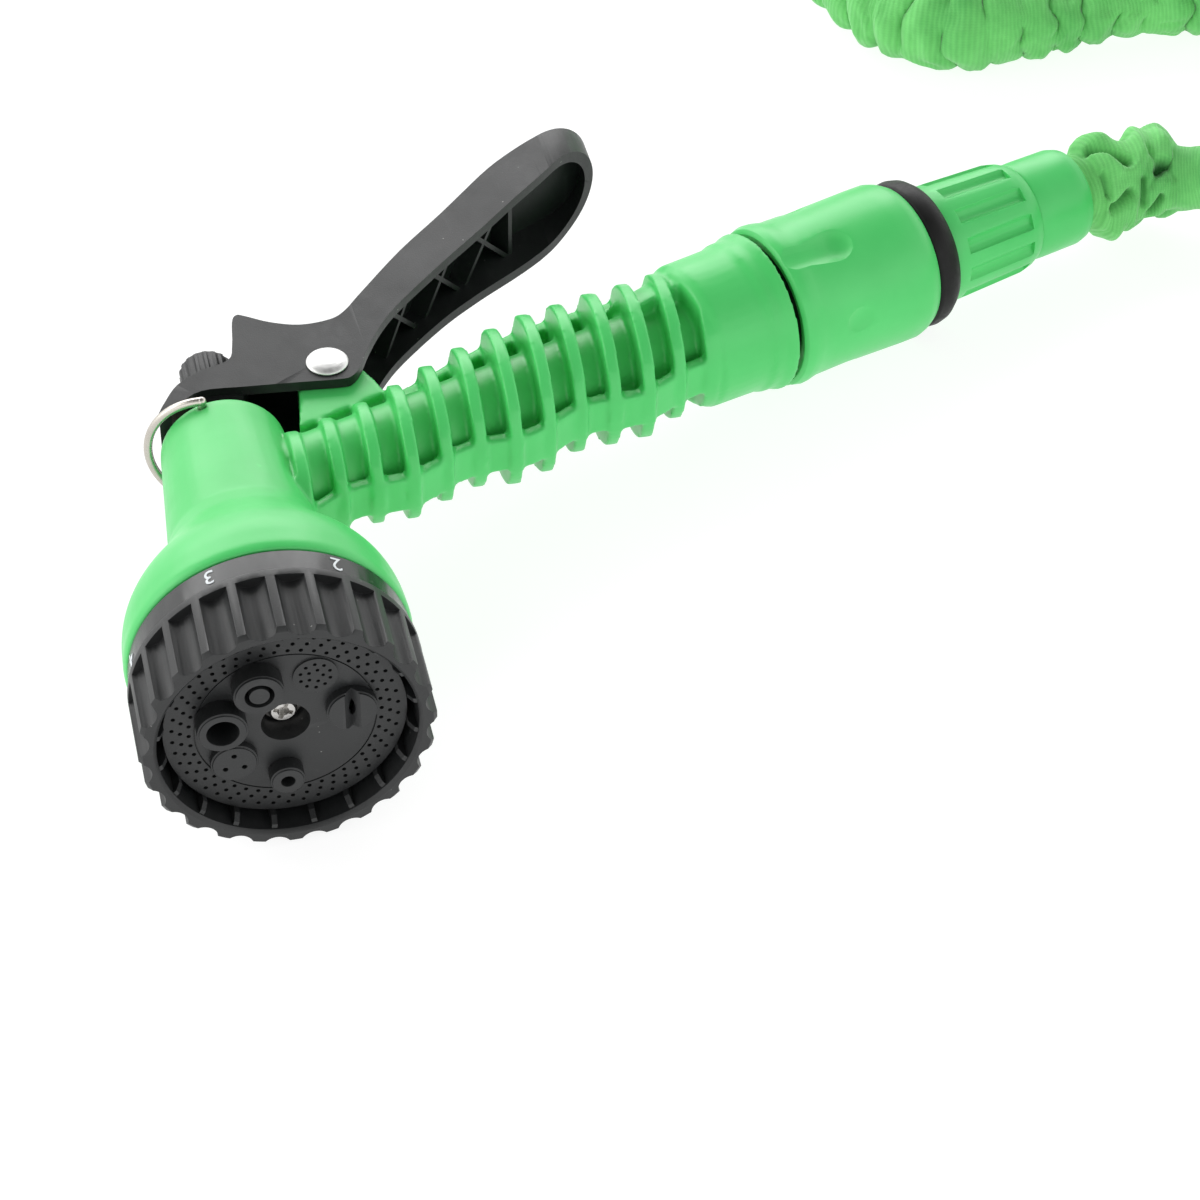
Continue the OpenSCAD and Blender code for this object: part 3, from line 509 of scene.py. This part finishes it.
# The strap's own section: across its width, above the hose
section = [(-9, 0.2), (-8.8, 1.2), (-8.2, 1.5), (-3, 1.6), (3, 1.6), (8.2, 1.5), (8.8, 1.2),
           (9, 0.2), (8.4, 0), (0, 0), (-8.4, 0)]
cloth_noise = Noise(21)
tie_vertices, tie_faces, tie_uv = [], [], []
base_angle = math.radians(TIE_ANGLE)
radial = np.array([math.cos(base_angle), math.sin(base_angle)])
round_coil = np.array([-radial[1], radial[0]])
for i in range(LAPS):
    for w, t in section:
        ripple = 0.35 * cloth_noise(i / 9, w / 6, 0.2)
        q = outline[i] + outward[i] * (t + ripple)
        xy = np.array(COIL) + radial * q[0] + round_coil * w
        tie_vertices.append((xy[0] * MM, xy[1] * MM, max(q[1], 0.3) * MM))
n_section = len(section)
for i in range(LAPS):
    for k in range(n_section):
        j, m = (i + 1) % LAPS, (k + 1) % n_section
        tie_faces.append((i * n_section + k, j * n_section + k, j * n_section + m,
                          i * n_section + m))
        u0, u1 = marks[i] * MM, (marks[i] + marks[1]) * MM
        v0, v1 = section[k][0] * MM, section[m][0] * MM
        tie_uv += [u0, v0, u1, v0, u1, v1, u0, v1]
tie = add_mesh("hose_strap", tie_vertices, tie_faces, strap_cloth)
tie.data.uv_layers.new(name="weave").data.foreach_set("uv", tie_uv)

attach(hose, "gun")
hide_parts("hose_run", "hose_coil", "hose_tail")
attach(tie, "gun")
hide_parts("hose_tie")

# ---- CAD pieces: materials and rounded edges --------------------------------------------

record = frame["record"]
slot_of = {part["node"]: part["material_slot"] for part in record["subparts"]}

# Rounding of each moulded or turned piece's edges, in millimetres
EDGE = {
    "dial_ring": 0.5, "spray_plate": 0.12, "selector_disc": 0.15, "flat_tip": 0.18,
    "soaker_disc": 0.08, "cone_tip": 0.18, "stream_tip": 0.18, "mist_disc": 0.15,
    "jet_tip": 0.18, "lever": 0.35, "connector_sleeve": 0.3, "sleeve_bumper": 0.3,
    "hose_nut": 0.3, "hose_collar": 0.3, "tap_nut": 0.35, "tap_collar": 0.3,
    "gland_nut": 0.25, "flow_knob": 0.2, "inlet_spigot": 0.2, "connector_body": 0.2,
    "locking_claws": 0.2, "dial_screw": 0.12, "lever_rivet": 0.1,
}
SAME_POINT = 1e-6
DIAL_PARTS = {"dial_ring", "spray_plate", "selector_disc", "flat_tip", "soaker_disc",
              "cone_tip", "stream_tip", "mist_disc", "jet_tip"}
for name, node in nodes.items():
    material = SLOT_MATERIAL.get(slot_of.get(name))
    if name == "lever_rivet":
        material = satin_steel
    if name in DIAL_PARTS:
        material = dial_black
    if material is not None:
        node.data.materials.clear()
        node.data.materials.append(material)
    if name in EDGE:
        weld = node.modifiers.new("weld", "WELD")
        weld.merge_threshold = SAME_POINT
        bevel = node.modifiers.new("bevel", "BEVEL")
        bevel.width = EDGE[name] * MM
        bevel.segments = 3
        bevel.limit_method = "ANGLE"
        bevel.angle_limit = math.radians(32)
        bevel.use_clamp_overlap = True
        bevel.harden_normals = True

# The smooth band behind the dial's flutes
ring = nodes["dial_ring"]
ring.data.materials.append(band_black)
BAND_FROM = gun(0, 18.6, 0).y
for polygon in ring.data.polygons:
    if polygon.center.y + ring.matrix_world.translation.y > BAND_FROM:
        polygon.material_index = 1

# The gun's body as it is moulded: every inside corner filleted, every rim rounded


def moulded_copy(name, voxel, rounds):
    """A CAD node's shape with its edges melted: remeshed finely, then smoothed."""
    node = nodes[name]
    mesh = node.data.copy()
    bm = bmesh.new()
    bm.from_mesh(mesh)
    bmesh.ops.remove_doubles(bm, verts=bm.verts, dist=SAME_POINT)
    bm.to_mesh(mesh)
    bm.free()
    piece = bpy.data.objects.new(name + "_shell", mesh)
    bpy.context.scene.collection.objects.link(piece)
    remesh = piece.modifiers.new("remesh", "REMESH")
    remesh.mode = "VOXEL"
    remesh.voxel_size = voxel
    remesh.use_smooth_shade = True
    smooth = piece.modifiers.new("smooth", "SMOOTH")
    smooth.factor = 0.5
    smooth.iterations = rounds
    bpy.context.view_layer.update()
    result = bpy.data.meshes.new_from_object(
        piece.evaluated_get(bpy.context.evaluated_depsgraph_get()))
    piece.modifiers.clear()
    piece.data = result
    result.polygons.foreach_set("use_smooth", [True] * len(result.polygons))
    return piece


body = moulded_copy("gun_body", voxel=0.5 * MM, rounds=7)
body.data.materials.clear()
body.data.materials.append(green)
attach(body, "gun")
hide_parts("gun_body")

# ---- Digits on the dial's band -----------------------------------------------------------

BAND_R, BAND_Y, DIGIT = 30.36, 21.7, 5.4
PATTERNS, FIRST_PATTERN = 7, 10


def band_marks():
    """The digits 1 to 7, bent round the band, one over each spray pattern."""
    bm = bmesh.new()
    for k in range(PATTERNS):
        text = bpy.data.curves.new("digit", "FONT")
        text.body = str(k + 1)
        text.size = DIGIT
        text.align_x, text.align_y = "CENTER", "CENTER"
        text.extrude = 0.06
        text.resolution_u = 6
        holder = bpy.data.objects.new("digit", text)
        bpy.context.scene.collection.objects.link(holder)
        bpy.context.view_layer.update()
        glyph = bpy.data.meshes.new_from_object(
            holder.evaluated_get(bpy.context.evaluated_depsgraph_get()))
        bpy.data.objects.remove(holder)
        first = len(bm.verts)
        bm.from_mesh(glyph)
        bm.verts.ensure_lookup_table()
        middle = FIRST_PATTERN + k * 360 / PATTERNS
        for vertex in bm.verts[first:]:
            x, y, z = vertex.co
            vertex.co = round_spray(BAND_R + z, middle + math.degrees(x / BAND_R), BAND_Y - y)
    mesh = bpy.data.meshes.new("dial_digits")
    bmesh.ops.recalc_face_normals(bm, faces=bm.faces)
    bm.to_mesh(mesh)
    bm.free()
    mesh.materials.append(ink)
    piece = bpy.data.objects.new("dial_digits", mesh)
    bpy.context.scene.collection.objects.link(piece)
    return piece


digits = band_marks()
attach(digits, "dial")

# ---- Stage -------------------------------------------------------------------------------

floor_n = Nodes("studio_floor")
floor_material = floor_n.finish(
    Base_Color=floor_n.mix(floor_n.noise(3, 2), rgb(0.26, 0.26, 0.26), rgb(0.28, 0.28, 0.28)),
    Roughness=0.8, Specular_IOR_Level=0.0, Emission_Color=rgb(1, 1, 1),
    Emission_Strength=0.85)
REACH, FLOOR_Z = 6, -0.2 * MM
corners = [(x * REACH, y * REACH, FLOOR_Z) for x, y in ((-1, -1), (1, -1), (1, 1), (-1, 1))]
floor = add_mesh("floor", corners, [(0, 1, 2, 3)], floor_material, smooth=False)

# White walls, brighter behind the object, under a dim ceiling
world = bpy.data.worlds.new("studio")
world.use_nodes = True
sky = world.node_tree
away = sky.nodes.new("ShaderNodeSeparateXYZ")
sky.links.new(sky.nodes.new("ShaderNodeTexCoord").outputs["Generated"], away.inputs[0])
ceiling = sky.nodes.new("ShaderNodeMapRange")
ceiling.interpolation_type = "SMOOTHSTEP"
sky.links.new(away.outputs[2], ceiling.inputs[0])
for k, value in enumerate((0.25, 0.95, 1.6, 0.2), 1):
    ceiling.inputs[k].default_value = value
sky.links.new(ceiling.outputs[0], sky.nodes["Background"].inputs["Strength"])
sky.nodes["Background"].inputs["Color"].default_value = (1, 1, 1, 1)
bpy.context.scene.world = world


def softbox(name, place, aim, width, height, power):
    """A rectangular studio light at one point, aimed at another."""
    light = bpy.data.lights.new(name, "AREA")
    light.shape = "RECTANGLE"
    light.size, light.size_y = width, height
    light.energy = power
    lamp = bpy.data.objects.new(name, light)
    lamp.location = place
    lamp.rotation_euler = (Vector(aim) - Vector(place)).to_track_quat("-Z", "Y").to_euler()
    bpy.context.scene.collection.objects.link(lamp)


softbox("back", (-0.1, 1.7, 1.1), (0.02, 0.05, 0), 2.6, 1.3, 31)
softbox("left", (-1.3, 0.2, 0.8), (0, 0, 0), 0.8, 0.9, 5)

scene = bpy.context.scene
scene.view_settings.view_transform = "Standard"
scene.view_settings.look = "None"
